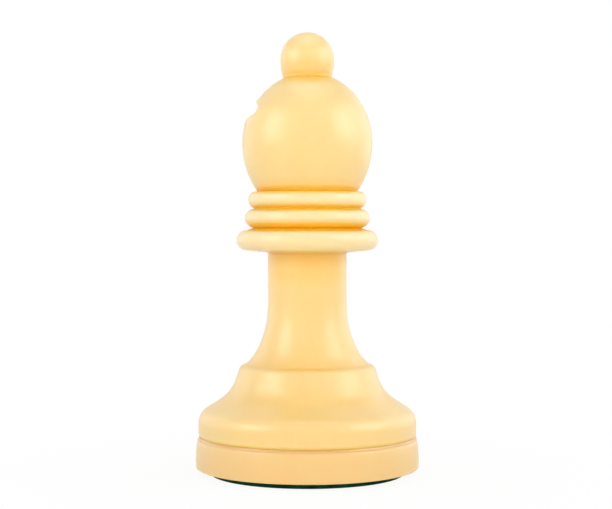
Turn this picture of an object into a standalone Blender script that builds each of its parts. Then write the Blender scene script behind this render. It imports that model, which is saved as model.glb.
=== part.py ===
"""Weighted tournament chess bishop, moulded in cream plastic and felted underneath.

The mitre head, the collared body and the plinth are three mouldings that push together and are
cemented: the head's socket drops over a spigot on top of the body, and the body's skirt drops
inside the plinth's rim. Three steel discs lie in a well inside the body, a plug pressed into the
plinth's underside holds them in, and a self-adhesive felt pad covers the plug.

Units are metres, +Z is up, the origin is the middle of the felt's underside, and the mitre's
notch faces -X.
"""

import math

import bpy
import bmesh
from mathutils import Matrix, Vector

MM = 0.001

# Whole piece
PIECE_HEIGHT = 69.15 * MM  # from the board to the top of the finial

# Fits
FIT_GAP = 0.2 * MM  # clearance on the radius of a push fit, and at the end of a blind one
SEAT_GAP = 0.05 * MM  # cement line between faces that seat on each other

# Plinth, a shallow tray with a hole in its floor
PLINTH_RADIUS = 17.5 * MM
PLINTH_HEIGHT = 4.95 * MM
PLINTH_LEAN = 0.4 * MM  # how far the face has leaned in where it reaches the top edge
PLINTH_UPRIGHT = 0.9 * MM  # height of the upright part of the face
PLINTH_TOP_EDGE = 0.45 * MM  # radius of the rounded top edge
PLINTH_FOOT_EDGE = 0.25 * MM  # radius of the rounded bottom edge
PLINTH_WALL = 2.1 * MM  # thickness of the rim that the body's skirt drops into
LEDGE_WIDTH = 1.6 * MM  # ledge round the hole in the floor, above the plug
LEDGE_THICKNESS = 0.75 * MM

# Felt pad and its adhesive film
FELT_SETBACK = 2.2 * MM  # from the plinth's face in to the felt's edge
FELT_THICKNESS = 0.78 * MM
FILM_SETBACK = 0.3 * MM  # from the felt's edge in to the film's edge
FILM_THICKNESS = 0.1 * MM

# Plug that closes the weight well
PLUG_THICKNESS = 1.0 * MM

# Steel weights
WEIGHT_COUNT = 3
WEIGHT_THICKNESS = 2.8 * MM
WEIGHT_CHAMFER = 0.25 * MM

# Bell, the lower part of the body, flush with the plinth where they meet
BELL_HEIGHT = 11.25 * MM  # from the plinth's top to the crease under the stem
BELL_UPRIGHT = 2.1 * MM  # height of the upright part of the side
BELL_FOOT_EDGE = 0.35 * MM  # radius of the rounded bottom edge
SHOULDER_RADIUS = 2.56 * MM
SHOULDER_TURN = 58.0  # degrees that the shoulder turns in from upright
OGEE_PULL = 0.47  # how strongly the hollow keeps its end directions, as a share of its span
BEAD_RADIUS = 1.11 * MM  # rounded rim of the bell, below the stem
BEAD_SPLAY = 16.0  # degrees off upright at which the bead runs out into the hollow
BEAD_STEP = 0.09 * MM  # drop from the stem's foot to the bead
SKIRT_WALL = 1.4 * MM  # wall of the skirt that enters the plinth
RELIEF_WIDTH = 1.3 * MM  # moulding relief between the skirt and the weight well
RELIEF_HEIGHT = 3.0 * MM  # how far that relief rises above the plinth
WELL_WALL = 1.3 * MM

# Stem, as tall as the other heights leave room for
STEM_RADIUS = 6.16 * MM
STEM_WALL = 3.16 * MM  # from the surface in to the core hole
FLARE_SHARE = 0.563  # share of the stem's height that its elliptic flare takes up
FLARE_REACH = 5.9 * MM  # half axis of that ellipse across the stem
FLARE_TURN = 66.5  # degrees of that ellipse that the flare follows

# Collars, each a half-round bead standing out from the body by its depth
LOWER_COLLAR_RADIUS = 11.1 * MM
LOWER_COLLAR_DEPTH = 1.55 * MM
LOWER_COLLAR_HEIGHT = 3.17 * MM
LOWER_COLLAR_SLOPE = 0.37 * MM  # rise of its top and underside towards its bead
MIDDLE_COLLAR_RADIUS = 9.81 * MM
MIDDLE_COLLAR_DEPTH = 1.45 * MM
MIDDLE_COLLAR_HEIGHT = 2.95 * MM
UPPER_COLLAR_RADIUS = 9.27 * MM
UPPER_COLLAR_DEPTH = 0.95 * MM
UPPER_COLLAR_HEIGHT = 2.55 * MM
COLLAR_GROOVE = 0.15 * MM  # width of the groove between the upper two

# Spigot on top of the body, inside the head
SPIGOT_WALL = 1.6 * MM  # round the core hole
SPIGOT_LENGTH = 6.5 * MM
SPIGOT_CHAMFER = 0.4 * MM

# Mitre head, an egg of two half ellipses with a ball on top
HEAD_RADIUS = 10.21 * MM
HEAD_NECK_INSET = 2.39 * MM  # from the widest ring in to the head's foot
HEAD_LOWER = 11.94 * MM  # half axis below the widest ring
HEAD_UPPER = 11.05 * MM  # half axis above it
HEAD_CORE_LENGTH = 5.0 * MM  # depth of the core hole above the socket
FINIAL_RADIUS = 4.21 * MM
FINIAL_NECK_INSET = 0.45 * MM  # from the ball's widest ring in to its crease with the head
FINIAL_LOWER = 6.17 * MM  # half axis below the ball's widest ring
FINIAL_UPPER = 4.22 * MM  # half axis above it

# Notch across the side of the mitre, a half-round groove
NOTCH_RISE = 5.45 * MM  # height of its middle above the widest ring
NOTCH_RADIUS = 1.1 * MM

# Fineness of the round work
FLATS = 48  # flats round every turned piece
ARC_STEP = 18.0  # degrees between two points of a large arc of an outline
EDGE_STEP = 45.0  # degrees between two points of a small rounded edge
OGEE_STEPS = 8
NOTCH_FLATS = 24  # flats round the bar that cuts the notch
MERGE = 0.01 * MM
SHARP_ANGLE = math.radians(35.0)
RIM_ANGLE = math.radians(60.0)

# Colours, as linear red, green and blue
CREAM = (0.95, 0.68, 0.29)
PLINTH_CREAM = (0.94, 0.66, 0.27)
PLUG_CREAM = (0.92, 0.64, 0.27)
STEEL_GREY = (0.52, 0.52, 0.54)
FILM_AMBER = (0.75, 0.68, 0.45)
FELT_GREEN = (0.0, 0.041, 0.012)


def ellipse_rise(radius, half_r, half_z):
    """Height above an ellipse's middle at which it has the given radius."""
    return half_z * math.sqrt(1.0 - (radius / half_r) ** 2)


# Radii that follow from the plinth inwards
BELL_RADIUS = PLINTH_RADIUS - PLINTH_LEAN
FELT_RADIUS = PLINTH_RADIUS - FELT_SETBACK
FILM_RADIUS = FELT_RADIUS - FILM_SETBACK
RIM_INSIDE = PLINTH_RADIUS - PLINTH_WALL
SKIRT_RADIUS = RIM_INSIDE - FIT_GAP
SKIRT_INSIDE = SKIRT_RADIUS - SKIRT_WALL
WELL_OUTSIDE = SKIRT_INSIDE - RELIEF_WIDTH
WELL_RADIUS = WELL_OUTSIDE - WELL_WALL
WEIGHT_RADIUS = WELL_RADIUS - FIT_GAP
RECESS_RADIUS = WELL_RADIUS + LEDGE_WIDTH
PLUG_RADIUS = RECESS_RADIUS - FIT_GAP

# Radii that follow from the stem and the head
CORE_RADIUS = STEM_RADIUS - STEM_WALL
SPIGOT_RADIUS = CORE_RADIUS + SPIGOT_WALL
SOCKET_RADIUS = SPIGOT_RADIUS + FIT_GAP
HEAD_NECK_RADIUS = HEAD_RADIUS - HEAD_NECK_INSET
FINIAL_NECK_RADIUS = FINIAL_RADIUS - FINIAL_NECK_INSET

# Heights inside the head, above its seat
HEAD_MIDDLE = ellipse_rise(HEAD_NECK_RADIUS, HEAD_RADIUS, HEAD_LOWER)
HEAD_CROWN = HEAD_MIDDLE + ellipse_rise(FINIAL_NECK_RADIUS, HEAD_RADIUS, HEAD_UPPER)
FINIAL_MIDDLE = HEAD_CROWN + ellipse_rise(FINIAL_NECK_RADIUS, FINIAL_RADIUS, FINIAL_LOWER)
HEAD_HEIGHT = FINIAL_MIDDLE + FINIAL_UPPER

# Heights of the seats, from the board up
RECESS_DEPTH = PLUG_THICKNESS + SEAT_GAP
PLINTH_FLOOR = RECESS_DEPTH + LEDGE_THICKNESS
WEIGHT_PITCH = WEIGHT_THICKNESS + SEAT_GAP
FILM_Z = FELT_THICKNESS + SEAT_GAP
PLINTH_Z = FILM_Z + FILM_THICKNESS + SEAT_GAP
WEIGHTS_Z = PLINTH_Z + RECESS_DEPTH
BODY_Z = PLINTH_Z + PLINTH_HEIGHT + SEAT_GAP
HEAD_Z = PIECE_HEIGHT - HEAD_HEIGHT
SPIGOT_Z = HEAD_Z - SEAT_GAP
COLLARS_HEIGHT = (LOWER_COLLAR_SLOPE + LOWER_COLLAR_HEIGHT + LOWER_COLLAR_SLOPE
                  + MIDDLE_COLLAR_HEIGHT + COLLAR_GROOVE + UPPER_COLLAR_HEIGHT)
STEM_HEIGHT = SPIGOT_Z - COLLARS_HEIGHT - BELL_HEIGHT - BODY_Z
FLARE_HEIGHT = STEM_HEIGHT * FLARE_SHARE
FLARE_DROP = FLARE_HEIGHT / math.sin(math.radians(FLARE_TURN))


def clear_scene():
    """Removes whatever objects the file opened with."""
    for item in list(bpy.data.objects):
        bpy.data.objects.remove(item, do_unlink=True)


def new_collection(name):
    """Returns a new collection linked to the scene."""
    group = bpy.data.collections.new(name)
    bpy.context.scene.collection.children.link(group)
    return group


def new_material(name, colour, roughness, metallic=0.0):
    """Returns a Principled material; the colour is linear red, green and blue."""
    material = bpy.data.materials.new(name)
    material.use_nodes = True
    shader = material.node_tree.nodes["Principled BSDF"]
    shader.inputs["Base Color"].default_value = (*colour, 1.0)
    shader.inputs["Roughness"].default_value = roughness
    shader.inputs["Metallic"].default_value = metallic
    return material


def arc(centre_r, centre_z, half_r, half_z, start, end, step=ARC_STEP):
    """Returns points (r, z) on an ellipse; 0 degrees points outwards and 90 degrees up."""
    steps = max(2, math.ceil(abs(end - start) / step))
    points = []
    for index in range(steps + 1):
        angle = math.radians(start + (end - start) * index / steps)
        points.append((centre_r + half_r * math.cos(angle), centre_z + half_z * math.sin(angle)))
    return points


def rounded_edge(centre_r, centre_z, radius, start, end):
    """Returns the few points of a small rounded edge."""
    return arc(centre_r, centre_z, radius, radius, start, end, EDGE_STEP)


def joined(*stretches):
    """Joins stretches of an outline, leaving out each point that repeats the one before it."""
    outline = []
    for stretch in stretches:
        for point in stretch:
            if not outline or math.dist(point, outline[-1]) > MERGE:
                outline.append(point)
    return outline


def ogee(start, end, start_splay, end_splay):
    """Returns points from start to end on a curve running down and out; the splays are its
    directions at both ends, in degrees off upright."""
    first = Vector(start)
    last = Vector(end)
    pull = OGEE_PULL * (last - first).length
    first_handle = first + pull * splayed(start_splay)
    last_handle = last - pull * splayed(end_splay)
    points = []
    for index in range(OGEE_STEPS + 1):
        t = index / OGEE_STEPS
        s = 1.0 - t
        point = (s ** 3 * first + 3 * s * s * t * first_handle
                 + 3 * s * t * t * last_handle + t ** 3 * last)
        points.append((point.x, point.y))
    return points


def splayed(degrees):
    """Returns the direction, in an outline, that runs down and splays out by the given angle."""
    angle = math.radians(degrees)
    return Vector((math.sin(angle), -math.cos(angle)))


def finish_mesh(item):
    """Applies the modifiers of an object and shades it smooth between its sharp edges."""
    view = bpy.context.evaluated_depsgraph_get()
    mesh = bpy.data.meshes.new_from_object(item.evaluated_get(view))
    item.modifiers.clear()
    item.data = mesh
    mesh.shade_smooth()
    mesh.set_sharp_from_angle(angle=SHARP_ANGLE)


def dress(item, material, group, root, height):
    """Gives an object its material, collection, parent and height."""
    for holder in list(item.users_collection):
        holder.objects.unlink(item)
    group.objects.link(item)
    item.data.materials.clear()
    item.data.materials.append(material)
    item.parent = root
    item.location.z = height


def turned(name, outline, ring):
    """Turns an outline of (r, z) points about Z; a ring's outline closes on itself."""
    count = len(outline)
    edges = [(index, index + 1) for index in range(count - 1)]
    if ring:
        edges.append((count - 1, 0))
    mesh = bpy.data.meshes.new(name)
    mesh.from_pydata([(r, 0.0, z) for r, z in outline], edges, [])
    item = bpy.data.objects.new(name, mesh)
    bpy.context.scene.collection.objects.link(item)
    screw = item.modifiers.new("Turn", 'SCREW')
    screw.axis = 'Z'
    screw.angle = math.tau
    screw.steps = FLATS
    screw.render_steps = FLATS
    screw.use_merge_vertices = True
    screw.merge_threshold = MERGE
    return item


def disc(name, radius, thickness, chamfer=0.0):
    """Returns a flat disc standing on its own underside, with both rims chamfered if asked."""
    shape = bmesh.new()
    bmesh.ops.create_cone(shape, cap_ends=True, segments=FLATS, radius1=radius, radius2=radius,
                          depth=thickness, matrix=Matrix.Translation((0.0, 0.0, thickness / 2)))
    mesh = bpy.data.meshes.new(name)
    shape.to_mesh(mesh)
    shape.free()
    item = bpy.data.objects.new(name, mesh)
    bpy.context.scene.collection.objects.link(item)
    if chamfer:
        bevel = item.modifiers.new("Rims", 'BEVEL')
        bevel.width = chamfer
        bevel.segments = 1
        bevel.limit_method = 'ANGLE'
        bevel.angle_limit = RIM_ANGLE
    return item


def plinth_outline():
    """Outline of the plinth, from its underside: rim, face, plug recess, weight hole and floor."""
    lean_top = PLINTH_HEIGHT - PLINTH_TOP_EDGE
    return joined(
        [(RIM_INSIDE, PLINTH_HEIGHT)],
        rounded_edge(BELL_RADIUS - PLINTH_TOP_EDGE, lean_top, PLINTH_TOP_EDGE, 90.0, 0.0),
        arc(BELL_RADIUS, PLINTH_UPRIGHT, PLINTH_LEAN, lean_top - PLINTH_UPRIGHT, 90.0, 0.0),
        rounded_edge(PLINTH_RADIUS - PLINTH_FOOT_EDGE, PLINTH_FOOT_EDGE, PLINTH_FOOT_EDGE, 0.0, -90.0),
        [(RECESS_RADIUS, 0.0), (RECESS_RADIUS, RECESS_DEPTH)],
        [(WELL_RADIUS, RECESS_DEPTH), (WELL_RADIUS, PLINTH_FLOOR)],
        [(RIM_INSIDE, PLINTH_FLOOR)],
    )


def collar_outline(top):
    """Outline of the three collars from the given height down to the stem."""
    collars = (
        (UPPER_COLLAR_RADIUS, UPPER_COLLAR_DEPTH, UPPER_COLLAR_HEIGHT, COLLAR_GROOVE),
        (MIDDLE_COLLAR_RADIUS, MIDDLE_COLLAR_DEPTH, MIDDLE_COLLAR_HEIGHT, LOWER_COLLAR_SLOPE),
        (LOWER_COLLAR_RADIUS, LOWER_COLLAR_DEPTH, LOWER_COLLAR_HEIGHT, LOWER_COLLAR_SLOPE),
    )
    outline = []
    for radius, depth, height, space_below in collars:
        outline += arc(radius - depth, top - height / 2, depth, height / 2, 90.0, -90.0)
        top -= height + space_below
    return outline + [(STEM_RADIUS, top)]


def bell_outline(crease_r, crease_z):
    """Outline of the bell from the crease under the stem down to its seat at height 0."""
    bead_z = crease_z - BEAD_STEP - BEAD_RADIUS
    bead = arc(crease_r, bead_z, BEAD_RADIUS, BEAD_RADIUS, 90.0, BEAD_SPLAY)
    shoulder = arc(BELL_RADIUS - SHOULDER_RADIUS, BELL_UPRIGHT, SHOULDER_RADIUS, SHOULDER_RADIUS,
                   SHOULDER_TURN, 0.0)
    hollow = ogee(bead[-1], shoulder[0], BEAD_SPLAY, SHOULDER_TURN)
    foot = rounded_edge(BELL_RADIUS - BELL_FOOT_EDGE, BELL_FOOT_EDGE, BELL_FOOT_EDGE, 0.0, -90.0)
    return bead + hollow + shoulder + foot


def body_outline():
    """Outline of the body: spigot, collars, stem, bell, skirt, then the well and the core hole."""
    seat = SPIGOT_Z - BODY_Z
    spigot_top = seat + SPIGOT_LENGTH
    foot = PLINTH_Z + PLINTH_FLOOR + FIT_GAP - BODY_Z
    well_top = WEIGHTS_Z + WEIGHT_COUNT * WEIGHT_PITCH + FIT_GAP - BODY_Z
    flare = arc(STEM_RADIUS + FLARE_REACH, BELL_HEIGHT + FLARE_HEIGHT, FLARE_REACH, FLARE_DROP,
                180.0, 180.0 + FLARE_TURN)
    return joined(
        [(CORE_RADIUS, spigot_top), (SPIGOT_RADIUS - SPIGOT_CHAMFER, spigot_top)],
        [(SPIGOT_RADIUS, spigot_top - SPIGOT_CHAMFER), (SPIGOT_RADIUS, seat)],
        collar_outline(seat),
        flare,
        bell_outline(*flare[-1]),
        [(SKIRT_RADIUS, 0.0), (SKIRT_RADIUS, foot)],
        [(SKIRT_INSIDE, foot), (SKIRT_INSIDE, RELIEF_HEIGHT)],
        [(WELL_OUTSIDE, RELIEF_HEIGHT), (WELL_OUTSIDE, foot)],
        [(WELL_RADIUS, foot), (WELL_RADIUS, well_top), (CORE_RADIUS, well_top)],
    )


def head_outline():
    """Outline of the mitre head from the finial's top: outside, seat, socket and core hole."""
    neck_turn = math.degrees(math.acos(HEAD_NECK_RADIUS / HEAD_RADIUS))
    crown_turn = math.degrees(math.acos(FINIAL_NECK_RADIUS / HEAD_RADIUS))
    finial_turn = math.degrees(math.acos(FINIAL_NECK_RADIUS / FINIAL_RADIUS))
    socket_top = SPIGOT_LENGTH + FIT_GAP
    core_top = socket_top + HEAD_CORE_LENGTH
    return joined(
        arc(0.0, FINIAL_MIDDLE, FINIAL_RADIUS, FINIAL_UPPER, 90.0, 0.0),
        arc(0.0, FINIAL_MIDDLE, FINIAL_RADIUS, FINIAL_LOWER, 0.0, -finial_turn),
        arc(0.0, HEAD_MIDDLE, HEAD_RADIUS, HEAD_UPPER, crown_turn, 0.0),
        arc(0.0, HEAD_MIDDLE, HEAD_RADIUS, HEAD_LOWER, 0.0, -neck_turn),
        [(SOCKET_RADIUS, 0.0), (SOCKET_RADIUS, socket_top)],
        [(CORE_RADIUS, socket_top), (CORE_RADIUS, core_top), (0.0, core_top + CORE_RADIUS)],
    )


def notch_cutter(group):
    """Returns the round bar that cuts the notch; it lies along Y, on the head's surface."""
    surface = ellipse_rise(NOTCH_RISE, HEAD_UPPER, HEAD_RADIUS)
    middle = Matrix.Translation((-surface, 0.0, HEAD_Z + HEAD_MIDDLE + NOTCH_RISE))
    shape = bmesh.new()
    bmesh.ops.create_cone(shape, cap_ends=True, segments=NOTCH_FLATS, radius1=NOTCH_RADIUS,
                          radius2=NOTCH_RADIUS, depth=2 * HEAD_RADIUS,
                          matrix=middle @ Matrix.Rotation(math.pi / 2, 4, 'X'))
    mesh = bpy.data.meshes.new("notch_cutter")
    shape.to_mesh(mesh)
    shape.free()
    item = bpy.data.objects.new("notch_cutter", mesh)
    group.objects.link(item)
    item.hide_render = True
    item.display_type = 'WIRE'
    return item


def build():
    """Builds every piece of the bishop."""
    clear_scene()
    group = new_collection("chess_bishop")
    cutters = new_collection("cutters")
    root = bpy.data.objects.new("chess_bishop_root", None)
    group.objects.link(root)

    head_plastic = new_material("cream_plastic_head", CREAM, roughness=0.32)
    body_plastic = new_material("cream_plastic_body", CREAM, roughness=0.32)
    plinth_plastic = new_material("cream_plastic_plinth", PLINTH_CREAM, roughness=0.34)
    plug_plastic = new_material("plug_plastic", PLUG_CREAM, roughness=0.5)
    steel = new_material("weight_steel", STEEL_GREY, roughness=0.42, metallic=1.0)
    film = new_material("adhesive_film", FILM_AMBER, roughness=0.6)
    felt = new_material("green_felt", FELT_GREEN, roughness=0.95)

    pad = disc("felt_pad", FELT_RADIUS, FELT_THICKNESS)
    finish_mesh(pad)
    dress(pad, felt, group, root, 0.0)

    adhesive = disc("felt_adhesive", FILM_RADIUS, FILM_THICKNESS)
    finish_mesh(adhesive)
    dress(adhesive, film, group, root, FILM_Z)

    plinth = turned("plinth", plinth_outline(), ring=True)
    finish_mesh(plinth)
    dress(plinth, plinth_plastic, group, root, PLINTH_Z)

    plug = disc("well_plug", PLUG_RADIUS, PLUG_THICKNESS)
    finish_mesh(plug)
    dress(plug, plug_plastic, group, root, PLINTH_Z)

    for index in range(WEIGHT_COUNT):
        weight = disc(f"weight_disc_{index + 1}", WEIGHT_RADIUS, WEIGHT_THICKNESS, WEIGHT_CHAMFER)
        finish_mesh(weight)
        dress(weight, steel, group, root, WEIGHTS_Z + index * WEIGHT_PITCH)

    body = turned("collared_body", body_outline(), ring=True)
    finish_mesh(body)
    dress(body, body_plastic, group, root, BODY_Z)

    head = turned("mitre_head", head_outline(), ring=False)
    dress(head, head_plastic, group, root, HEAD_Z)
    notch = head.modifiers.new("Notch", 'BOOLEAN')
    notch.operation = 'DIFFERENCE'
    notch.object = notch_cutter(cutters)
    finish_mesh(head)


build()
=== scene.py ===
"""Looks of the weighted chess bishop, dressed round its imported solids.

The three mouldings and the felt are turned again from their outlines, finer than their solids and
with every crease eased. The pieces that they close in keep their solids and get finishes of their
own. Sizes are in metres, +Z is up, and the mitre's notch faces -X.
"""

import logging
import math
from abc import ABC, abstractmethod
from dataclasses import dataclass
from enum import Enum
from functools import cached_property

import bmesh
import bpy
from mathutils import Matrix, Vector, noise
from mathutils.geometry import interpolate_bezier
from mathutils.kdtree import KDTree


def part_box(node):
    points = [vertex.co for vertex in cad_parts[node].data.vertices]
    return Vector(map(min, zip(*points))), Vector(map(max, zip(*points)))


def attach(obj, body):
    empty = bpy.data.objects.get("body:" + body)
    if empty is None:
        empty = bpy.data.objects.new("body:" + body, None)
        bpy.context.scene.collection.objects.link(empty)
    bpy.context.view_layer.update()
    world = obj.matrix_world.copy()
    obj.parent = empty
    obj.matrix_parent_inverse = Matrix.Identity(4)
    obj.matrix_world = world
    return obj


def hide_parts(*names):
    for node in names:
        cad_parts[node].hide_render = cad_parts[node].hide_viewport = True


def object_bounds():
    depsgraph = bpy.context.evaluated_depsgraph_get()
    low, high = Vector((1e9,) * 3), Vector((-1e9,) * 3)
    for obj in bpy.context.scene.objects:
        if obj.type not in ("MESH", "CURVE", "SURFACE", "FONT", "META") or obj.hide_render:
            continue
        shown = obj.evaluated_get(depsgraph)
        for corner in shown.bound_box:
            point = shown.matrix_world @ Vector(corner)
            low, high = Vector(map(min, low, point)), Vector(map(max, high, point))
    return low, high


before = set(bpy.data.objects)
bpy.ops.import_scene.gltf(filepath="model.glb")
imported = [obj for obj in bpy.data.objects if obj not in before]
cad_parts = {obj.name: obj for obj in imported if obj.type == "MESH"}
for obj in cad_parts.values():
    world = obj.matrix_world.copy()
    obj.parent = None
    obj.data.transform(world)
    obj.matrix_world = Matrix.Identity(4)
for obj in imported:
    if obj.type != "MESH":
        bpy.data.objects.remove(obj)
CAD_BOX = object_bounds()

LOG = logging.getLogger("chess_bishop")
BODY = "root"
MM = 0.001

SEAT_GAP = 0.05 * MM  # cement line between the mouldings
FIT_GAP = 0.2 * MM  # clearance of the push fits
SPIN_STEPS = 160
POINT_SPACING = 0.16 * MM  # along the round stretches of an outline
RUN_SPACING = 0.4 * MM  # along the straight stretches that shade off
NOTCH_SPACING = 0.05 * MM  # along the stretch that the notch is cut into
EASE_STEPS = 6  # along an eased corner, and the fewest along an arc
WELD = 0.0001 * MM
SHARP_ANGLE = math.radians(40.0)
GROOVE_TURN = 50.0  # degrees that the edges turn in where the bell meets the plinth
CREASE = "crease"  # name of the attribute that tells how deep in a crease a vertex lies
WHITE = "#FFFFFF"
NOISE_LOW = 0.3  # a noise texture's values lie mostly between these two
NOISE_HIGH = 0.7

Point = tuple[float, float]
Span = tuple[float, float]


class Slot(Enum):
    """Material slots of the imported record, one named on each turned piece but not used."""

    HEAD = "cream_plastic_head"
    BODY = "cream_plastic_body"
    PLINTH = "cream_plastic_plinth"
    FELT = "green_felt"


class Ends(Enum):
    """How an outline ends: both ends on the turning axis, or back at its start."""

    ON_AXIS = "on axis"
    AT_START = "at start"


def linear(colour: str) -> tuple[float, float, float, float]:
    """Turns an sRGB hex colour into linear red, green, blue and alpha.

    Args:
        colour: the colour as "#RRGGBB".

    Returns:
        The four linear values, with an alpha of 1.
    """
    values = []
    for start in (1, 3, 5):
        share = int(colour[start:start + 2], 16) / 255.0
        values.append(share / 12.92 if share <= 0.04045 else ((share + 0.055) / 1.055) ** 2.4)
    return (*values, 1.0)


def per_metre(size_mm: float) -> float:
    """Returns the texture scale at which a pattern repeats about once in so many millimetres."""
    return 1000.0 / size_mm


def add_node(tree: bpy.types.NodeTree, kind: str, settings: dict[str, object] | None = None,
             numbered: dict[int, object] | None = None, **named: object) -> bpy.types.Node:
    """Adds a shader node with its settings and links.

    Args:
        tree: the node tree that gets the node.
        kind: the node's Blender type.
        settings: properties of the node.
        numbered: its inputs by place, where several share a name; a socket is linked, a value is set.
        **named: its inputs by name, with _ for a space.

    Returns:
        The new node.
    """
    node = tree.nodes.new(kind)
    for name, value in (settings or {}).items():
        setattr(node, name, value)
    inputs = {name.replace("_", " "): value for name, value in named.items()}
    for key, value in (inputs | (numbered or {})).items():
        if isinstance(value, bpy.types.NodeSocket):
            tree.links.new(value, node.inputs[key])
        else:
            node.inputs[key].default_value = value
    return node


def new_material(name: str) -> bpy.types.Material:
    """Makes a material with an empty node tree.

    Args:
        name: the material's name.

    Returns:
        The material.
    """
    material = bpy.data.materials.new(name)
    material.use_nodes = True
    material.node_tree.nodes.clear()
    return material


@dataclass(frozen=True)
class Finish(ABC):
    """What a piece is made of and how its surface was made."""

    name: str

    @abstractmethod
    def surface(self, tree: bpy.types.NodeTree, place: bpy.types.NodeSocket) -> bpy.types.Node:
        """Makes the finish's nodes.

        Args:
            tree: the node tree that gets them.
            place: the place on the piece.

        Returns:
            The shader node.
        """

    def material(self) -> bpy.types.Material:
        """Makes the finish as a material.

        Returns:
            The Blender material.
        """
        material = new_material(self.name)
        tree = material.node_tree
        place = add_node(tree, "ShaderNodeTexCoord")
        shader = self.surface(tree, place.outputs["Object"])
        add_node(tree, "ShaderNodeOutputMaterial", Surface=shader.outputs["BSDF"])
        return material


@dataclass(frozen=True)
class MouldedPlastic(Finish):
    """Cream plastic, injection moulded in polished steel and lightly buffed.

    To the eye it is satin and slightly see-through, and the highlights of large lamps stay broad and weak.
    Light goes in and comes out warmer, and the creases, where it has been through the plastic several
    times, glow orange; most of that orange is painted into the base colour as warm painted shade. The
    ridges between creases are painted a little paler, a painted highlight. The melt leaves faint clouds
    drawn out along Z, and the mould a very fine orange peel.
    """

    pale: str = "#FDDA93"
    deep: str = "#FDD286"
    # Painted light: a paler painted highlight on the ridges, then amber and orange painted shade deeper in
    # the creases.
    ridge_highlight: str = "#FDDFA8"
    painted_amber_shade: str = "#FDC54D"
    crease: str = "#FECB1E"
    ridge_share: float = 0.9  # how far each of these three covers the cream
    amber_share: float = 0.9
    crease_share: float = 0.95
    ridge_depths: Span = (-0.02, -0.22)  # depths at which each starts and is full
    amber_depths: Span = (0.19, 0.45)
    crease_depths: Span = (0.45, 0.9)
    roughness_low: float = 0.285
    roughness_high: float = 0.355
    ior: float = 1.53
    gloss: float = 1.0  # specular level; 0.5 follows the IOR alone, and buffing adds to it
    glow: float = 1.0
    glow_depth: float = 0.5 * MM
    glow_colours: tuple[float, float, float] = (1.0, 0.6, 0.4)  # share of that depth for each
    cloud_mm: float = 7.0
    cloud_squeeze: float = 0.45  # scale along Z, so that the clouds are longer that way
    haze_mm: float = 1.6
    peel_mm: float = 0.55
    peel_height: float = 0.004 * MM
    peel_strength: float = 0.5

    def surface(self, tree: bpy.types.NodeTree, place: bpy.types.NodeSocket) -> bpy.types.Node:
        """Makes the clouded plastic with its tinted creases and ridges.

        Args:
            tree: the node tree that gets the nodes.
            place: the place on the piece.

        Returns:
            The shader node.
        """
        drawn_out = add_node(tree, "ShaderNodeMapping", Vector=place,
                             Scale=(1.0, 1.0, self.cloud_squeeze))
        clouds = add_node(tree, "ShaderNodeTexNoise", Vector=drawn_out.outputs["Vector"],
                          Scale=per_metre(self.cloud_mm), Detail=3.0, Distortion=0.6)
        tint = add_node(tree, "ShaderNodeMix", {"data_type": "RGBA"},
                        {6: linear(self.deep), 7: linear(self.pale)}, Factor=clouds.outputs["Fac"])
        # The crease attribute lays the painted ridge highlight and the warm painted crease shade over the
        # clouded cream.
        shut_in = add_node(tree, "ShaderNodeAttribute", {"attribute_name": CREASE})
        for shade, depths, most in ((self.ridge_highlight, self.ridge_depths, self.ridge_share),
                                    (self.painted_amber_shade, self.amber_depths, self.amber_share),
                                    (self.crease, self.crease_depths, self.crease_share)):
            share = add_node(tree, "ShaderNodeMapRange", Value=shut_in.outputs["Fac"],
                             From_Min=depths[0], From_Max=depths[1], To_Max=most)
            tint = add_node(tree, "ShaderNodeMix", {"data_type": "RGBA"},
                            {6: tint.outputs[2], 7: linear(shade)}, Factor=share.outputs["Result"])
        haze = add_node(tree, "ShaderNodeTexNoise", Vector=place,
                        Scale=per_metre(self.haze_mm), Detail=4.0)
        dullness = add_node(tree, "ShaderNodeMapRange", Value=haze.outputs["Fac"], From_Min=NOISE_LOW,
                            From_Max=NOISE_HIGH, To_Min=self.roughness_low, To_Max=self.roughness_high)
        peel = add_node(tree, "ShaderNodeTexNoise", Vector=place,
                        Scale=per_metre(self.peel_mm), Detail=2.0)
        relief = add_node(tree, "ShaderNodeBump", Height=peel.outputs["Fac"], Strength=self.peel_strength,
                          Distance=self.peel_height)
        return add_node(tree, "ShaderNodeBsdfPrincipled", Base_Color=tint.outputs[2],
                        Roughness=dullness.outputs["Result"], Normal=relief.outputs["Normal"],
                        IOR=self.ior, Specular_IOR_Level=self.gloss, Subsurface_Weight=self.glow,
                        Subsurface_Radius=self.glow_colours, Subsurface_Scale=self.glow_depth)


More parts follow.
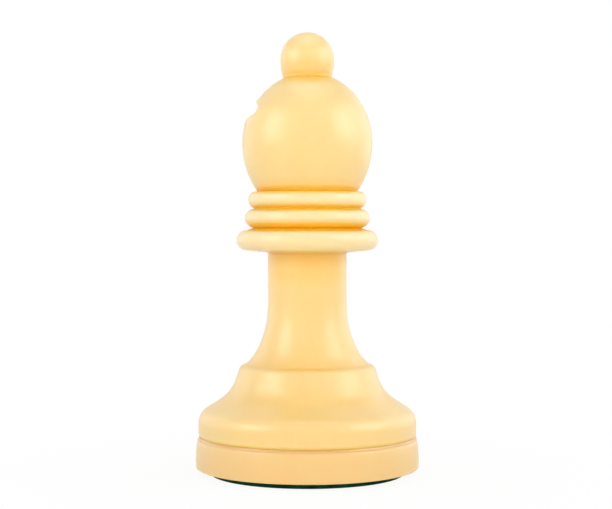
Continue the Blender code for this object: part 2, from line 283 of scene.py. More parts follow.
@dataclass(frozen=True)
class PressedFelt(Finish):
    """Dark green wool felt, pressed and die cut.

    Its matted fibres take away all gloss, catch a little light at the edge, and vary between
    bottle green and near black. Single wool fibres are too fine to show, so they are drawn coarser.
    """

    pale: str = "#03573A"
    deep: str = "#002C19"
    roughness: float = 0.95
    gloss: float = 0.1
    sheen: float = 0.03
    sheen_roughness: float = 0.6
    fibre_mm: float = 0.225
    fibre_squeeze: float = 0.12  # scale along a fibre, so that it is longer than thick
    fibre_turns: tuple[float, float, float] = (0.35, 1.45, 2.5)  # radians, the ways they lie
    mat_mm: float = 2.5
    pile_low: float = 0.15  # what shows as near black, and as bottle green
    pile_high: float = 0.45
    relief_height: float = 0.12 * MM
    relief_strength: float = 0.8

    def surface(self, tree: bpy.types.NodeTree, place: bpy.types.NodeSocket) -> bpy.types.Node:
        """Makes the felt from fibres that cross and clump.

        Args:
            tree: the node tree that gets the nodes.
            place: the place on the piece.

        Returns:
            The shader node.
        """
        strands = []
        for turn in self.fibre_turns:
            combed = add_node(tree, "ShaderNodeMapping", Vector=place,
                              Rotation=(0.0, 0.0, turn), Scale=(1.0, self.fibre_squeeze, 1.0))
            fibres = add_node(tree, "ShaderNodeTexNoise", Vector=combed.outputs["Vector"],
                              Scale=per_metre(self.fibre_mm), Detail=2.0, Distortion=1.2)
            strands.append(fibres.outputs["Fac"])
        matted = strands[0]
        for strand in strands[1:]:
            crossed = add_node(tree, "ShaderNodeMath", {"operation": "MAXIMUM"}, {0: matted, 1: strand})
            matted = crossed.outputs["Value"]
        clumps = add_node(tree, "ShaderNodeTexNoise", Vector=place,
                          Scale=per_metre(self.mat_mm), Detail=3.0)
        pile = add_node(tree, "ShaderNodeMath", {"operation": "MULTIPLY"},
                        {0: matted, 1: clumps.outputs["Fac"]})
        spread = add_node(tree, "ShaderNodeMapRange", Value=pile.outputs["Value"],
                          From_Min=self.pile_low, From_Max=self.pile_high)
        tint = add_node(tree, "ShaderNodeMix", {"data_type": "RGBA"},
                        {6: linear(self.deep), 7: linear(self.pale)}, Factor=spread.outputs["Result"])
        relief = add_node(tree, "ShaderNodeBump", Height=matted, Strength=self.relief_strength,
                          Distance=self.relief_height)
        return add_node(tree, "ShaderNodeBsdfPrincipled", Base_Color=tint.outputs[2],
                        Roughness=self.roughness, Normal=relief.outputs["Normal"],
                        Specular_IOR_Level=self.gloss, Sheen_Weight=self.sheen,
                        Sheen_Roughness=self.sheen_roughness)


@dataclass(frozen=True)
class TumbledSteel(Finish):
    """Mild steel blanks, punched from sheet and tumbled smooth.

    Tumbling leaves a grey, half-dull surface with short scratches in every direction.
    """

    bright: str = "#C2C2C4"
    dull: str = "#8E8F92"
    roughness_low: float = 0.35
    roughness_high: float = 0.5
    scratch_mm: float = 0.6

    def surface(self, tree: bpy.types.NodeTree, place: bpy.types.NodeSocket) -> bpy.types.Node:
        """Makes the scratched steel.

        Args:
            tree: the node tree that gets the nodes.
            place: the place on the piece.

        Returns:
            The shader node.
        """
        scratches = add_node(tree, "ShaderNodeTexNoise", Vector=place,
                             Scale=per_metre(self.scratch_mm), Detail=6.0, Distortion=2.5)
        tint = add_node(tree, "ShaderNodeMix", {"data_type": "RGBA"},
                        {6: linear(self.dull), 7: linear(self.bright)}, Factor=scratches.outputs["Fac"])
        dullness = add_node(tree, "ShaderNodeMapRange", Value=scratches.outputs["Fac"], From_Min=NOISE_LOW,
                            From_Max=NOISE_HIGH, To_Min=self.roughness_low, To_Max=self.roughness_high)
        return add_node(tree, "ShaderNodeBsdfPrincipled", Base_Color=tint.outputs[2],
                        Roughness=dullness.outputs["Result"], Metallic=1.0)


@dataclass(frozen=True)
class AdhesiveTissue(Finish):
    """Double-sided adhesive on a tissue carrier, amber and slightly fibrous."""

    pale: str = "#E4DBB4"
    deep: str = "#CDBF8A"
    roughness: float = 0.5
    tissue_mm: float = 1.2

    def surface(self, tree: bpy.types.NodeTree, place: bpy.types.NodeSocket) -> bpy.types.Node:
        """Makes the fibrous film.

        Args:
            tree: the node tree that gets the nodes.
            place: the place on the piece.

        Returns:
            The shader node.
        """
        tissue = add_node(tree, "ShaderNodeTexNoise", Vector=place,
                          Scale=per_metre(self.tissue_mm), Detail=5.0, Distortion=1.0)
        tint = add_node(tree, "ShaderNodeMix", {"data_type": "RGBA"},
                        {6: linear(self.deep), 7: linear(self.pale)}, Factor=tissue.outputs["Fac"])
        return add_node(tree, "ShaderNodeBsdfPrincipled", Base_Color=tint.outputs[2],
                        Roughness=self.roughness)


def ellipse_rise(radius: float, half_r: float, half_z: float) -> float:
    """Returns the height above an ellipse's middle at which it has the given radius."""
    return half_z * math.sqrt(1.0 - (radius / half_r) ** 2)


def splayed(degrees: float) -> Vector:
    """Returns the direction in an outline that runs down and splays out by an angle off upright."""
    angle = math.radians(degrees)
    return Vector((math.sin(angle), -math.cos(angle)))


class Outline:
    """Outline of a turned piece, drawn stretch by stretch down its outer side."""

    def __init__(self, radius: float, height: float) -> None:
        """Starts the outline at a point."""
        self._points: list[Vector] = [Vector((radius, height))]
        self._eases: dict[int, float] = {}

    @property
    def end(self) -> Vector:
        """The point drawn last."""
        return self._points[-1]

    def to(self, *points: Point) -> "Outline":
        """Draws straight lines, leaving out any point that repeats the one before.

        Args:
            *points: the points that the lines go through.

        Returns:
            The outline, so that stretches can follow each other.
        """
        for point in points:
            if (Vector(point) - self.end).length > WELD:
                self._points.append(Vector(point))
        return self

    def run(self, point: Point) -> "Outline":
        """Draws a straight line in steps, for a stretch that shades off along its length.

        Args:
            point: where the line ends.

        Returns:
            The outline.
        """
        start = self.end
        steps = math.ceil((Vector(point) - start).length / RUN_SPACING)
        return self.to(*(tuple(start.lerp(Vector(point), (step + 1) / steps)) for step in range(steps)))

    def arc(self, centre: Point, half_axes: Point, start: float, end: float,
            spacing: float = POINT_SPACING) -> "Outline":
        """Draws part of an ellipse.

        Args:
            centre: the ellipse's middle.
            half_axes: its half axes, outwards and up.
            start: the angle in degrees where the part starts; 0 is outwards and 90 is up.
            end: the angle where it ends.
            spacing: the largest distance between its points.

        Returns:
            The outline.
        """
        length = math.radians(abs(end - start)) * max(half_axes)
        steps = max(EASE_STEPS, math.ceil(length / spacing))
        for step in range(steps + 1):
            angle = math.radians(start + (end - start) * step / steps)
            self.to((centre[0] + half_axes[0] * math.cos(angle),
                     centre[1] + half_axes[1] * math.sin(angle)))
        return self

    def ogee(self, end: Point, start_splay: float, end_splay: float, pull: float) -> "Outline":
        """Draws a curve down and out that leaves and arrives in given directions.

        Args:
            end: where the curve arrives.
            start_splay: the direction in which it leaves, in degrees off upright.
            end_splay: the direction in which it arrives.
            pull: how far it keeps those directions, as a share of its span.

        Returns:
            The outline.
        """
        first = self.end
        last = Vector(end)
        span = (last - first).length
        curve = interpolate_bezier(first, first + pull * span * splayed(start_splay),
                                   last - pull * span * splayed(end_splay), last,
                                   math.ceil(span / POINT_SPACING))
        return self.to(*(tuple(point) for point in curve))

    def ease(self, reach: float) -> "Outline":
        """Marks the corner at the point drawn last as eased over a reach to either side."""
        self._eases[len(self._points) - 1] = reach
        return self

    def _walk(self, points: list[Vector], index: int, step: int, reach: float) -> tuple[Vector, int]:
        """Walks along the outline from a corner.

        Args:
            points: the outline's points.
            index: where the corner is among them.
            step: 1 to walk on, -1 to walk back.
            reach: how far to walk.

        Returns:
            The place reached, and the index of the first point past it.
        """
        here = points[index]
        left = reach
        while True:
            index += step
            stride = (points[index] - here).length
            if stride >= left:
                return here.lerp(points[index], left / stride), index
            left -= stride
            here = points[index]

    def points(self) -> list[Vector]:
        """Rounds the marked corners.

        Returns:
            The outline's points.
        """
        points = list(self._points)
        for index in sorted(self._eases, reverse=True):
            corner = points[index]
            start, before = self._walk(points, index, -1, self._eases[index])
            end, after = self._walk(points, index, 1, self._eases[index])
            curve = interpolate_bezier(start, start.lerp(corner, 2 / 3), end.lerp(corner, 2 / 3),
                                       end, EASE_STEPS + 1)
            points[before + 1:after] = curve
        return points


@dataclass
class CreaseMap:
    """Tells how deep in a crease or how high on a ridge each point of the outlines lies."""

    outlines: list[list[Vector]]  # the points of each, which shut each other in
    reach: float = 9.0 * MM  # how far off another point still shuts a point in
    bleed: float = 0.75 * MM  # how far the painted crease colour spreads along the outline, as light carries it inside the plastic
    ridge_size: float = 5.6 * MM  # how far from a ridge the crease on either side of it may be
    ridge_limit: float = 0.45  # depth past which a point lies on no ridge
    crease_start: float = 0.3  # depths at which a place starts to count as a crease, and counts fully
    crease_full: float = 0.45
    table_light: float = 0.3  # how much every painted depth shrinks where the outline faces down, as the white table lights it, and grows where it faces up

    @cached_property
    def _tree(self) -> KDTree:
        """All the outlines' points, to be searched by distance."""
        points = [point for outline in self.outlines for point in outline]
        tree = KDTree(len(points))
        for index, point in enumerate(points):
            tree.insert(point.to_3d(), index)
        tree.balance()
        return tree

    def depths(self, points: list[Vector]) -> list[float]:
        """Measures the points of one outline.

        Args:
            points: the points in order, down the outer side.

        Returns:
            A depth for each: 1 at the bottom of a narrow crease, 0 in the open, and below 0 on a
            ridge.
        """
        neighbours = zip(points[:1] + points, points[1:] + points[-1:])
        sides = [after - before for before, after in neighbours]
        outwards = [Vector((-side.y, side.x)).normalized() for side in sides]
        spans = [min(side.length, self.bleed) for side in sides]
        shut = [self._shut_in(point, outward) for point, outward in zip(points, outwards)]
        shut = self._spread(points, shut, spans)
        depths = []
        for index, (outward, depth) in enumerate(zip(outwards, shut)):
            between = min(self._crease_beside(points, shut, index, step) for step in (-1, 1))
            share = (between - self.crease_start) / (self.crease_full - self.crease_start)
            if depth < self.ridge_limit:
                depth -= min(1.0, max(0.0, share)) * (1.0 - depth / self.ridge_limit)
            # Painted light by facing: creases and ridges that face up get more painted shade or highlight,
            # those that face down less.
            depths.append(depth * (1.0 + self.table_light * outward.y))
        return depths

    def _crease_beside(self, points: list[Vector], shut: list[float], index: int, step: int) -> float:
        """Looks for a crease on one side of a point, within the size of a ridge.

        Args:
            points: the outline's points.
            shut: how far each of them is shut in.
            index: where the point is among them.
            step: 1 to look on along the outline, -1 to look back.

        Returns:
            How far the deepest place found is shut in.
        """
        here = points[index]
        deepest = 0.0
        index += step
        while 0 <= index < len(points) and (points[index] - here).length < self.ridge_size:
            deepest = max(deepest, shut[index])
            index += step
        return deepest

    def _shut_in(self, point: Vector, outward: Vector) -> float:
        """Measures how far other points shut one in.

        Args:
            point: the point.
            outward: the direction in which the outline faces there.

        Returns:
            The mean of its two sides: 0 in the open, up to 1 where points face it closely.
        """
        along = Vector((outward.y, -outward.x))
        shut = [0.0, 0.0]
        for other, _, distance in self._tree.find_range(point.to_3d(), self.reach):
            if distance > WELD:
                ray = (other.to_2d() - point) / distance
                side = int(ray.dot(along) > 0.0)
                nearness = 1.0 - (distance / self.reach) ** 4
                shut[side] = max(shut[side], ray.dot(outward) * nearness)
        return sum(shut) / 2

    def _spread(self, points: list[Vector], depths: list[float], spans: list[float]) -> list[float]:
        """Spreads the depths along the outline, as light does inside the plastic.

        Args:
            points: the outline's points.
            depths: the depth of each.
            spans: the length of outline that each stands for.

        Returns:
            The spread depths.
        """
        spread = []
        for point in points:
            shares = [span * max(0.0, 1.0 - (other - point).length / self.bleed)
                      for other, span in zip(points, spans)]
            mean = sum(share * depth for share, depth in zip(shares, depths)) / sum(shares)
            spread.append(mean)
        return spread


def spun(points: list[Vector], depths: list[float], ends: Ends) -> bmesh.types.BMesh:
    """Spins an outline about Z into a closed shape.

    Args:
        points: the outline's points.
        depths: how deep in a crease each of them lies.
        ends: whether the outline ends on the axis or back at its start.

    Returns:
        The turned shape, with its faces pointing outwards.
    """
    shape = bmesh.new()
    crease = shape.verts.layers.float.new(CREASE)
    verts = [shape.verts.new((point.x, 0.0, point.y)) for point in points]
    for vert, depth in zip(verts, depths):
        vert[crease] = depth
    follow = verts[1:] if ends is Ends.ON_AXIS else verts[1:] + verts[:1]
    edges = [shape.edges.new(pair) for pair in zip(verts, follow)]
    bmesh.ops.spin(shape, geom=verts + edges, cent=(0.0, 0.0, 0.0), axis=(0.0, 0.0, 1.0),
                   angle=math.tau, steps=SPIN_STEPS, use_merge=True)
    bmesh.ops.remove_doubles(shape, verts=shape.verts, dist=WELD)
    bmesh.ops.recalc_face_normals(shape, faces=shape.faces)
    return shape


@dataclass
class TurnedPiece(ABC):
    """A piece turned about Z that stands for one solid of the frame."""

    node: str
    slot: Slot
    finish: Finish
    ends: Ends

    @abstractmethod
    def outline(self) -> Outline:
        """Returns the outline that is spun."""

    def work(self, shape: bmesh.types.BMesh) -> None:
        """Shapes what isn't turned; most pieces have nothing of the kind."""

    def build(self, creases: CreaseMap) -> bpy.types.Object:
        """Spins the piece, dresses it and sets it in its solid's place.

        Args:
            creases: the creases between all the turned pieces.

        Returns:
            The finished piece.
        """
        points = self.outline().points()
        shape = spun(points, creases.depths(points), self.ends)
        self.work(shape)
        mesh = bpy.data.meshes.new(f"{self.node}_turned")
        shape.to_mesh(mesh)
        shape.free()
        mesh.shade_smooth()
        mesh.set_sharp_from_angle(angle=SHARP_ANGLE)
        mesh.materials.append(self.finish.material())
        piece = bpy.data.objects.new(f"{self.node}_turned", mesh)
        bpy.context.scene.collection.objects.link(piece)
        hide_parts(self.node)
        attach(piece, BODY)
        return piece


@dataclass(frozen=True)
class Notch:
    """Groove filed straight across the mitre, with heights taken from the head's widest ring."""

    top: float = 6.25 * MM  # upper lip
    root: float = 4.88 * MM  # deepest line
    ledge: float = 3.98 * MM  # lower lip
    foot: float = 2.66 * MM  # lower end of the chamfer below the lip
    top_depth: float = 0.39 * MM  # depths are level, from the turned surface
    root_depth: float = 1.42 * MM
    ledge_depth: float = 0.58 * MM
    lean: float = 3.5  # degrees that the crown above has sunk on this side

    def depth(self, rise: float) -> float:
        """Returns how deep the groove is at a height.

        Args:
            rise: the height above the widest ring.

        Returns:
            The depth, which is 0 above and below the groove.
        """
        if not self.foot < rise < self.top:
            return 0.0
        if rise > self.root:
            share = (rise - self.root) / (self.top - self.root)
            return self.root_depth - (self.root_depth - self.top_depth) * share ** 2
        if rise > self.ledge:
            share = (self.root - rise) / (self.root - self.ledge)
            return self.ledge_depth + (self.root_depth - self.ledge_depth) * math.sqrt(1.0 - share ** 2)
        share = (rise - self.foot) / (self.ledge - self.foot)
        return self.ledge_depth * share ** 2


@dataclass
class MitreHead(TurnedPiece):
    """Egg-shaped head with its ball finial, the notch in its side and the socket underneath."""

    radius: float = 10.21 * MM
    neck_radius: float = 7.82 * MM
    lower: float = 11.94 * MM  # half axis below the widest ring
    upper: float = 11.05 * MM  # half axis above it
    finial_radius: float = 4.21 * MM
    finial_neck: float = 3.76 * MM
    finial_lower: float = 6.17 * MM
    finial_upper: float = 4.22 * MM
    finial_ease: float = 0.3 * MM
    foot_ease: float = 0.12 * MM
    socket_radius: float = 4.8 * MM
    socket_depth: float = 6.7 * MM
    core_radius: float = 3.0 * MM
    core_length: float = 5.0 * MM
    notch: Notch = Notch()

    @cached_property
    def seat(self) -> float:
        """Height of the head's foot."""
        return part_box(self.node)[0].z

    @cached_property
    def middle(self) -> float:
        """Height of the widest ring."""
        return self.seat + ellipse_rise(self.neck_radius, self.radius, self.lower)

    @cached_property
    def crown(self) -> float:
        """Height of the crease under the ball."""
        return self.middle + ellipse_rise(self.finial_neck, self.radius, self.upper)

    @cached_property
    def ball(self) -> float:
        """Height of the ball's widest ring."""
        return self.crown + ellipse_rise(self.finial_neck, self.finial_radius, self.finial_lower)

    def outline(self) -> Outline:
        """Draws the outside from the finial's top, then the foot, the socket and the core hole.

        Returns:
            The outline.
        """
        ball = self.ball
        ball_turn = math.degrees(math.acos(self.finial_neck / self.finial_radius))
        crown_turn = math.degrees(math.acos(self.finial_neck / self.radius))
        neck_turn = math.degrees(math.acos(self.neck_radius / self.radius))
        socket_top = self.seat + self.socket_depth
        core_top = socket_top + self.core_length
        outline = Outline(0.0, ball + self.finial_upper)
        outline.arc((0.0, ball), (self.finial_radius, self.finial_upper), 90.0, 0.0)
        outline.arc((0.0, ball), (self.finial_radius, self.finial_lower), 0.0, -ball_turn)
        outline.ease(self.finial_ease)
        head = ((0.0, self.middle), (self.radius, self.upper))
        notch_start = math.degrees(math.asin(self.notch.top / self.upper))
        notch_end = math.degrees(math.asin(self.notch.foot / self.upper))
        outline.arc(*head, crown_turn, notch_start)
        outline.arc(*head, notch_start, notch_end, NOTCH_SPACING)
        outline.arc(*head, notch_end, 0.0)
        outline.arc((0.0, self.middle), (self.radius, self.lower), 0.0, -neck_turn)
        outline.ease(self.foot_ease)
        outline.run((self.socket_radius, self.seat)).to((self.socket_radius, socket_top))
        outline.to((self.core_radius, socket_top), (self.core_radius, core_top))
        return outline.to((0.0, core_top + self.core_radius))

    def work(self, shape: bmesh.types.BMesh) -> None:
        """Sinks the crown a little on the side that faces -X and cuts the notch under it.

        Args:
            shape: the turned head.
        """
        for vert in shape.verts:
            if vert.co.x < 0.0:
                vert.co.z += self._sinking(vert.co)
                rise = vert.co.z - self.middle
                depth = self.notch.depth(rise)
                if depth:
                    vert.co.x = max(vert.co.x, depth - ellipse_rise(rise, self.upper, self.radius))

    def _sinking(self, place: Vector) -> float:
        """Returns how far up the sunken crown moves a place, which is 0 or less.

        Args:
            place: a place on the turned head, on the notch's side.

        Returns:
            The move along Z, which grows towards the notch and ends on the ball.
        """
        above_root = (place.z - self.middle - self.notch.root) / (self.notch.top - self.notch.root)
        below_ball = (self.ball - place.z) / (self.ball - self.crown)
        share = min(max(above_root, 0.0), max(below_ball, 0.0), 1.0)
        facing = place.x ** 2 / (place.x ** 2 + place.y ** 2)
        return math.tan(math.radians(self.notch.lean)) * place.x * facing * share


@dataclass(frozen=True)
class Collar:
    """One half-round collar: its radius, how far its bead stands out, and its height."""

    radius: float
    depth: float
    height: float


@dataclass
class CollaredBody(TurnedPiece):
    """Collars, stem and bell, with the spigot above and the skirt and weight well below."""

    upper_collar: Collar = Collar(9.27 * MM, 0.95 * MM, 2.55 * MM)
    middle_collar: Collar = Collar(9.81 * MM, 1.45 * MM, 2.95 * MM)
    lower_collar: Collar = Collar(11.1 * MM, 1.55 * MM, 3.17 * MM)
    groove: float = 0.15 * MM  # between the upper two
    slope: float = 0.37 * MM  # rise of the lower collar's top and underside
    collar_ease: float = 0.28 * MM
    stem_radius: float = 6.16 * MM
    stem_ease: float = 0.3 * MM
    flare_share: float = 0.563  # of the stem's height
    flare_reach: float = 5.9 * MM
    flare_turn: float = 66.5  # degrees
    crease_ease: float = 0.35 * MM
    bell_radius: float = 17.1 * MM
    bell_height: float = 11.25 * MM
    bell_upright: float = 2.1 * MM  # height of its foot below the shoulder
    foot_edge: Point = (0.55 * MM, 0.85 * MM)  # half axes of its rounded foot
    bead_radius: float = 1.11 * MM
    bead_splay: float = 16.0  # degrees off upright
    bead_step: float = 0.09 * MM  # drop from the crease to the bead's top
    shoulder_radius: float = 2.56 * MM
    shoulder_turn: float = 58.0  # degrees
    ogee_pull: float = 0.47  # share of the ogee's span
    spigot_radius: float = 4.6 * MM
    spigot_chamfer: float = 0.4 * MM
    core_radius: float = 3.0 * MM
    skirt_radius: float = 15.2 * MM
    skirt_wall: float = 1.4 * MM
    well_radius: float = 11.2 * MM
    well_wall: float = 1.3 * MM
    relief_height: float = 3.0 * MM

    def outline(self) -> Outline:
        """Draws the outside from the spigot down, then the well and the core hole up again.

        Returns:
            The outline.
        """
        foot, top = (corner.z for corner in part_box(self.node))
        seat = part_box("mitre_head")[0].z
        outline = Outline(self.core_radius, top)
        outline.to((self.spigot_radius - self.spigot_chamfer, top))
        outline.to((self.spigot_radius, top - self.spigot_chamfer), (self.spigot_radius, seat))
        self._draw_collars(outline, seat)
        self._draw_stem(outline)
        self._draw_bell(outline)
        self._draw_inside(outline, foot)
        return outline

    @cached_property
    def bell_foot(self) -> float:
        """Height of the bell's foot, on the plinth."""
        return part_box("plinth")[1].z

    def _draw_collars(self, outline: Outline, seat: float) -> None:
        """Draws the three collars down to the stem.

        Args:
            outline: the outline that gets them.
            seat: the height of the head's seat, where they start.
        """
        collars = ((self.upper_collar, self.groove), (self.middle_collar, self.slope),
                   (self.lower_collar, self.slope))
        top = seat
        for collar, space_below in collars:
            outline.run((collar.radius - collar.depth, top))
            outline.arc((collar.radius - collar.depth, top - collar.height / 2),
                        (collar.depth, collar.height / 2), 90.0, -90.0)
            outline.ease(self.collar_ease)
            top -= collar.height + space_below
        outline.to((self.stem_radius, top)).ease(self.stem_ease)

    def _draw_stem(self, outline: Outline) -> None:
        """Draws the stem from the collars down to its crease with the bell.

        Args:
            outline: the outline that gets it.
        """
        crease = self.bell_foot + self.bell_height
        flare_height = (outline.end.y - crease) * self.flare_share
        flare_drop = flare_height / math.sin(math.radians(self.flare_turn))
        outline.run((self.stem_radius, crease + flare_height))
        outline.arc((self.stem_radius + self.flare_reach, crease + flare_height),
                    (self.flare_reach, flare_drop), 180.0, 180.0 + self.flare_turn)
        outline.ease(self.crease_ease)

    def _draw_bell(self, outline: Outline) -> None:
        """Draws the bell from its bead down to the edge that meets the plinth.

        Args:
            outline: the outline that gets it.
        """
        bead = (outline.end.x, outline.end.y - self.bead_step - self.bead_radius)
        outline.arc(bead, (self.bead_radius, self.bead_radius), 90.0, self.bead_splay)
        turn = math.radians(self.shoulder_turn)
        centre = (self.bell_radius - self.shoulder_radius, self.bell_foot + self.bell_upright)
        shoulder = (centre[0] + self.shoulder_radius * math.cos(turn),
                    centre[1] + self.shoulder_radius * math.sin(turn))
        outline.ogee(shoulder, self.bead_splay, self.shoulder_turn, self.ogee_pull)
        outline.arc(centre, (self.shoulder_radius, self.shoulder_radius), self.shoulder_turn, 0.0)
        edge = self.foot_edge
        drop = edge[1] * math.sin(math.radians(GROOVE_TURN))
        outline.arc((self.bell_radius - edge[0], self.bell_foot + drop), edge, 0.0, -GROOVE_TURN)

    def _draw_inside(self, outline: Outline, foot: float) -> None:
        """Draws the skirt, the moulding relief, the weight well and the core hole.

        Args:
            outline: the outline that gets them.
            foot: the height of the skirt's foot.
        """
        skirt_inside = self.skirt_radius - self.skirt_wall
        well_outside = self.well_radius + self.well_wall
        relief = self.bell_foot + self.relief_height
        well_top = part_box("weight_disc_3")[1].z + SEAT_GAP + FIT_GAP
        outline.run((self.skirt_radius, self.bell_foot)).to((self.skirt_radius, foot))
        outline.to((skirt_inside, foot), (skirt_inside, relief))
        outline.to((well_outside, relief), (well_outside, foot))
        outline.to((self.well_radius, foot), (self.well_radius, well_top))
        outline.to((self.core_radius, well_top))


@dataclass
class Plinth(TurnedPiece):
    """Foot ring under the bell, a tray with a hole in its floor."""

    lean: float = 0.4 * MM  # how far the face draws in towards its top
    upright: float = 0.9 * MM  # height of the face below the lean
    top_edge: Point = (0.42 * MM, 0.55 * MM)  # half axes of its rounded top
    foot_edge: float = 0.25 * MM
    rim_wall: float = 2.1 * MM
    recess_radius: float = 12.8 * MM
    hole_radius: float = 11.2 * MM
    ledge: float = 0.75 * MM  # thickness of the floor above the plug

    def outline(self) -> Outline:
        """Draws from the rim's inside over the face to the floor.

        Returns:
            The outline.
        """
        low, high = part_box(self.node)
        radius, foot, top = high.x, low.z, high.z
        rim_inside = radius - self.rim_wall
        recess_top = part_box("well_plug")[1].z + SEAT_GAP
        floor = recess_top + self.ledge
        lean_top = top - self.top_edge[1] * math.sin(math.radians(GROOVE_TURN))
        face = radius - self.lean
        outline = Outline(rim_inside, top)
        outline.run((face - self.top_edge[0], top))
        outline.arc((face - self.top_edge[0], lean_top), self.top_edge, GROOVE_TURN, 0.0)
        outline.arc((face, foot + self.upright), (self.lean, lean_top - foot - self.upright),
                    90.0, 0.0)
        outline.arc((radius - self.foot_edge, foot + self.foot_edge),
                    (self.foot_edge, self.foot_edge), 0.0, -90.0)
        outline.to((self.recess_radius, foot), (self.recess_radius, recess_top))
        outline.to((self.hole_radius, recess_top), (self.hole_radius, floor))
        return outline.to((rim_inside, floor))


@dataclass
class FeltPad(TurnedPiece):
    """Die-cut felt disc under the plinth, with a slightly uneven edge."""

    edge: float = 0.18 * MM  # rounding of its cut edge
    unevenness: float = 0.05 * MM
    uneven_mm: float = 0.8

    def outline(self) -> Outline:
        """Draws from the middle of its top over its edge to its underside.

        Returns:
            The outline.
        """
        low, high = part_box(self.node)
        radius = high.x - self.unevenness
        outline = Outline(0.0, high.z)
        outline.arc((radius - self.edge, high.z - self.edge), (self.edge, self.edge), 90.0, 0.0)
        outline.arc((radius - self.edge, low.z + self.edge), (self.edge, self.edge), 0.0, -90.0)
        return outline.to((0.0, low.z))

    def work(self, shape: bmesh.types.BMesh) -> None:
        """Makes the cut edge uneven.

        Args:
            shape: the turned disc.
        """
        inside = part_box(self.node)[1].x - self.unevenness - self.edge
        for vert in shape.verts:
            radius = math.hypot(vert.co.x, vert.co.y)
            if radius > inside:
                pull = self.unevenness * noise.noise(vert.co * per_metre(self.uneven_mm))
                vert.co.x *= 1.0 + pull / radius
                vert.co.y *= 1.0 + pull / radius

    def build(self, creases: CreaseMap) -> bpy.types.Object:
        """Args:
            creases: the creases between all the turned pieces.

        Returns:
            The finished pad.
        """
        piece = super().build(creases)
        return piece


@dataclass
class ClosedInPiece:
    """A piece inside the others, which keeps its solid and gets a finish."""

    node: str
    finish: Finish

    def build(self) -> bpy.types.Object:
        """Gives the solid its finish.

        Returns:
            The solid's object.
        """
        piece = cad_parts[self.node]
        material = self.finish.material()
        for place in piece.material_slots:
            place.material = material
        return piece


@dataclass(frozen=True)
class SoftBox:
    """A square lamp behind a diffuser, aimed at the middle of the piece."""

    name: str
    bearing: float  # degrees round from the camera's side, to the right
    rise: float  # degrees above level
    distance: float
    half_angle: float  # degrees from its middle to its edge, seen from the piece
    brightness: float  # as a share of white paper's
    in_gloss: bool = True  # whether it shows in the gloss

    def place(self, target: Vector) -> bpy.types.Object:
        """Sets the lamp up.

        Args:
            target: the point it is aimed at.

        Returns:
            The lamp.
        """
        data = bpy.data.lights.new(self.name, 'AREA')
        data.shape = 'SQUARE'
        data.size = 2 * self.distance * math.tan(math.radians(self.half_angle))
        data.energy = self.brightness * math.pi * data.size ** 2
        lamp = bpy.data.objects.new(self.name, data)
        lamp.visible_glossy = self.in_gloss
        bpy.context.scene.collection.objects.link(lamp)
        bearing = math.radians(self.bearing)
        rise = math.radians(self.rise)
        towards = Vector((math.sin(bearing) * math.cos(rise), -math.cos(bearing) * math.cos(rise),
                          math.sin(rise)))
        lamp.location = target + self.distance * towards
        lamp.rotation_euler = towards.to_track_quat('Z', 'Y').to_euler()
        return lamp


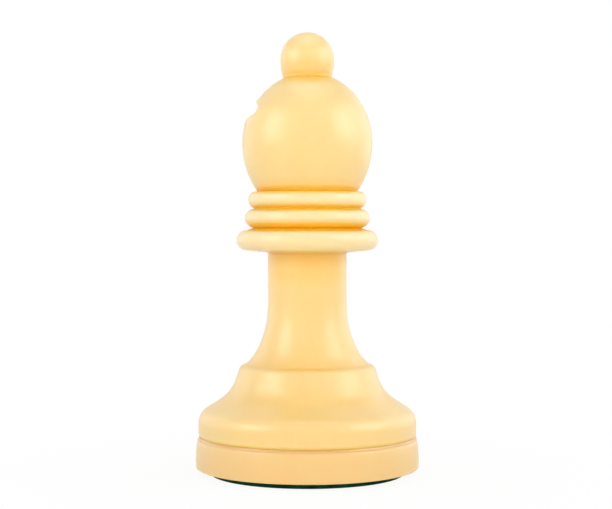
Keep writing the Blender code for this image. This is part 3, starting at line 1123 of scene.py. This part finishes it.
@dataclass
class Studio:
    """White table in white surroundings, with soft boxes all round the piece and above it."""

    fill: float = 0.25  # strength of the surroundings as a light
    table_size: float = 4.0
    paper: str = "#F4F4F4"  # what the table throws back at the piece
    shadow_share: float = 0.1  # how much of the table's own shading shows near the piece
    shadow_reach: float = 0.06  # how far from the piece the shading has faded out

    def boxes(self) -> tuple[SoftBox, ...]:
        """Returns the lamps."""
        return (
            SoftBox("left_soft_box", -63.0, 25.0, 0.2, 18.0, 1.95),
            SoftBox("right_soft_box", 75.0, 27.0, 0.2, 20.0, 1.8),
            SoftBox("front_soft_box", 0.0, 8.0, 0.35, 28.0, 2.5, in_gloss=False),
            SoftBox("top_soft_box", 0.0, 87.0, 0.075, 15.0, 0.8),
            SoftBox("left_rim_box", -125.0, 10.0, 0.35, 22.0, 0.6),
            SoftBox("right_rim_box", 125.0, 15.0, 0.35, 22.0, 0.9),
            SoftBox("backdrop", 180.0, 8.0, 0.35, 45.0, 1.0, in_gloss=False),
        )

    def build(self, target: Vector) -> None:
        """Sets up the lamps, the surroundings and the table.

        Args:
            target: the point that the lamps are aimed at.
        """
        for box in self.boxes():
            box.place(target)
        self._surroundings()
        self._table()

    def _seen(self, tree: bpy.types.NodeTree) -> bpy.types.NodeSocket:
        """Tells apart what is seen directly, in gloss or through glass and what only lights.

        Args:
            tree: the node tree that gets the nodes.

        Returns:
            A socket that is 1 for what is seen.
        """
        path = add_node(tree, "ShaderNodeLightPath")
        seen = path.outputs["Is Camera Ray"]
        for name in ("Is Glossy Ray", "Is Transmission Ray"):
            either = add_node(tree, "ShaderNodeMath", {"operation": "MAXIMUM"},
                              {0: seen, 1: path.outputs[name]})
            seen = either.outputs["Value"]
        return seen

    def _surroundings(self) -> None:
        """Makes the world white to the eye and a plain fill light to the piece."""
        world = bpy.data.worlds.new("white_surroundings")
        world.use_nodes = True
        tree = world.node_tree
        tree.nodes.clear()
        strength = add_node(tree, "ShaderNodeMapRange", Value=self._seen(tree), To_Min=self.fill)
        light = add_node(tree, "ShaderNodeBackground", Color=linear(WHITE),
                         Strength=strength.outputs["Result"])
        add_node(tree, "ShaderNodeOutputWorld", Surface=light.outputs["Background"])
        bpy.context.scene.world = world

    def _table(self) -> None:
        """Makes the white table, which shows the piece's shadow near the piece."""
        shape = bmesh.new()
        bmesh.ops.create_grid(shape, x_segments=1, y_segments=1, size=self.table_size / 2)
        mesh = bpy.data.meshes.new("white_table")
        shape.to_mesh(mesh)
        shape.free()
        material = new_material("white_paper_table")
        tree = material.node_tree
        place = add_node(tree, "ShaderNodeTexCoord")
        away = add_node(tree, "ShaderNodeVectorMath", {"operation": "LENGTH"},
                        Vector=place.outputs["Object"])
        plain = add_node(tree, "ShaderNodeMapRange", Value=away.outputs["Value"],
                         From_Max=self.shadow_reach, To_Min=1.0 - self.shadow_share)
        white = add_node(tree, "ShaderNodeMath", {"operation": "MULTIPLY"},
                         {0: plain.outputs["Result"], 1: self._seen(tree)})
        paper = add_node(tree, "ShaderNodeBsdfDiffuse", Color=linear(self.paper))
        glow = add_node(tree, "ShaderNodeEmission", Color=linear(WHITE), Strength=1.0)
        surface = add_node(tree, "ShaderNodeMixShader", {}, {
            0: white.outputs["Value"], 1: paper.outputs["BSDF"], 2: glow.outputs["Emission"]})
        add_node(tree, "ShaderNodeOutputMaterial", Surface=surface.outputs["Shader"])
        mesh.materials.append(material)
        table = bpy.data.objects.new("white_table", mesh)
        bpy.context.scene.collection.objects.link(table)


@dataclass(frozen=True)
class PhotoCamera:
    """Camera at the photograph's place, given by what the photograph shows."""

    frame_width: float = 612.0  # pixels
    frame_height: float = 509.0
    focal_length: float = 1500.0  # pixels
    horizon_row: float = 228.7
    axis_column: float = 307.3
    distance: float = 235.7 * MM  # from the piece's axis
    eye_height: float = 38.4 * MM
    sensor_width: float = 36.0  # millimetres

    def build(self) -> bpy.types.Object:
        """Sets the camera up.

        Returns:
            The camera, which is also the scene's.
        """
        data = bpy.data.cameras.new("photo_camera")
        data.sensor_width = self.sensor_width
        data.lens = self.focal_length * self.sensor_width / self.frame_width
        camera = bpy.data.objects.new("photo_camera", data)
        bpy.context.scene.collection.objects.link(camera)
        metres_per_pixel = self.distance / self.focal_length
        camera.location = (0.0, -self.distance, self.eye_height)
        aim = Vector(((self.frame_width / 2 - self.axis_column) * metres_per_pixel, 0.0,
                      self.eye_height - (self.frame_height / 2 - self.horizon_row) * metres_per_pixel))
        camera.rotation_euler = (aim - camera.location).to_track_quat('-Z', 'Y').to_euler()
        data.clip_start = self.distance / 100
        data.clip_end = self.distance * 100
        bpy.context.scene.camera = camera
        return camera


def main() -> None:
    """Builds and dresses every piece, then sets up the studio and the camera."""
    logging.basicConfig(level=logging.INFO, format="%(name)s: %(message)s")
    turned = [
        MitreHead("mitre_head", Slot.HEAD, MouldedPlastic("moulded_cream_head"), Ends.ON_AXIS),
        # The creams get deeper from the head through the body to the plinth: painted shade, darker towards
        # the bottom.
        CollaredBody("collared_body", Slot.BODY,
                     MouldedPlastic("moulded_cream_body", pale="#FBD78E", deep="#FAD081"), Ends.AT_START),
        # The plinth's browner amber and crease colours are darker painted shade in the groove under the
        # bell, and it gets no painted ridge highlight.
        Plinth("plinth", Slot.PLINTH,
               MouldedPlastic("moulded_cream_plinth", pale="#F3CF88", deep="#EFC87D", painted_amber_shade="#E6B466",
                              crease="#DFA655", ridge_share=0.0), Ends.AT_START),
        FeltPad("felt_pad", Slot.FELT, PressedFelt("pressed_green_felt"), Ends.ON_AXIS),
    ]
    closed_in = [
        ClosedInPiece("well_plug", MouldedPlastic("moulded_plug", roughness_low=0.45,
                                                  roughness_high=0.55)),
        ClosedInPiece("felt_adhesive", AdhesiveTissue("adhesive_tissue")),
    ]
    steel = TumbledSteel("tumbled_steel")
    for node in sorted(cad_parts):
        if node.startswith("weight_disc"):
            closed_in.append(ClosedInPiece(node, steel))
    creases = CreaseMap([piece.outline().points() for piece in turned])
    items = [piece.build(creases) for piece in turned]
    items += [piece.build() for piece in closed_in]
    for item in items:
        LOG.info("%s: %d faces", item.name, len(item.data.polygons))
    middle = (CAD_BOX[0] + CAD_BOX[1]) / 2
    Studio().build(middle)
    PhotoCamera().build()
    bpy.context.scene.view_settings.view_transform = 'Standard'


if __name__ == "__main__":
    main()
